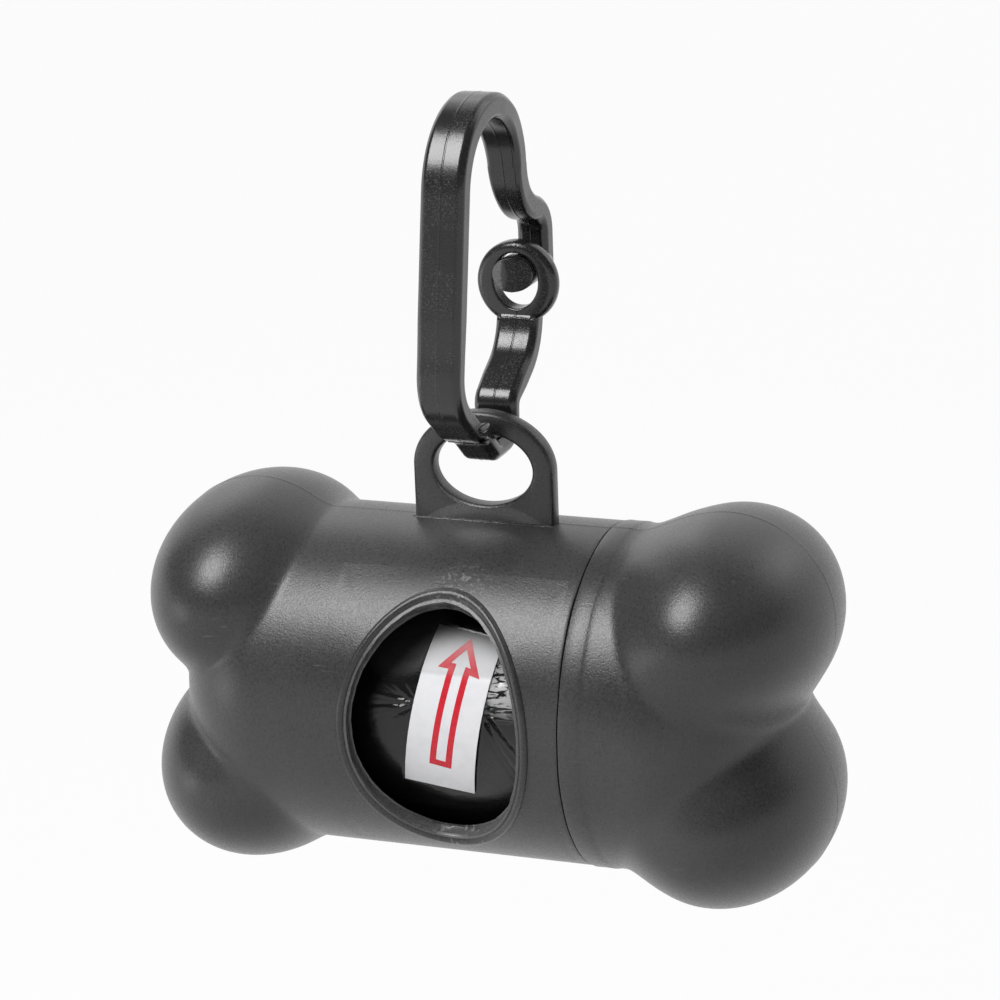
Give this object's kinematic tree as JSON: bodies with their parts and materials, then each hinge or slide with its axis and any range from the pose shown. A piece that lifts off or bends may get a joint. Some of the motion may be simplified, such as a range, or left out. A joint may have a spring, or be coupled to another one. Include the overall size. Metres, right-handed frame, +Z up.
{
  "type": "dog poop bag dispenser",
  "caption": "Bone-shaped dispenser for a roll of dog waste bags, with a window, a pull-off end cap and a plastic carabiner in an eyelet on top.",
  "frame": {"origin": "the spot on the inside of the carabiner's arch where the dispenser hangs from a lead", "axes": "+Z up as it hangs, +X along the bone towards the end cap, -Y out of the window"},
  "size_m": [0.0804, 0.0398, 0.0902],
  "materials": {
    "case": "satin blow-moulded polyethylene",
    "clip": "glossy moulded acetal",
    "core": "matt brown board",
    "film": "thin glossy film",
    "label": "smooth paper"
  },
  "bodies": {
    "clip": {"clip_frame": "clip"},
    "gate": {"clip_gate": "clip"},
    "case": {"shell": "case"},
    "cap": {"end_cap": "case"},
    "roll": {"roll_core": "core", "start_label": "label", "bag_01": "film", "bag_02": "film", "bag_03": "film", "bag_04": "film", "bag_05": "film", "bag_06": "film", "bag_07": "film", "bag_08": "film", "bag_09": "film", "bag_10": "film", "bag_11": "film", "bag_12": "film", "bag_13": "film", "bag_14": "film", "bag_15": "film"}
  },
  "joints": [
    {"name": "gate_flex", "type": "hinge", "parent": "clip", "child": "gate", "pos_m": [0, 0.00359, -0.03462], "axis": [1, 0, 0], "range_deg": [0, 28], "stiffness_Nm_per_rad": 0.12},
    {"name": "clip_swing", "type": "hinge", "parent": "clip", "child": "case", "pos_m": [0, -0.00061, -0.03932], "axis": [0, 1, 0], "range_deg": [-85, 85]},
    {"name": "cap_pull", "type": "slide", "parent": "case", "child": "cap", "axis": [1, 0, 0], "range_m": [0, 0.03]},
    {"name": "roll_spin", "type": "hinge", "parent": "case", "child": "roll", "pos_m": [0.0005, -0.00061, -0.06605], "axis": [1, 0, 0], "continuous": true}
  ]
}
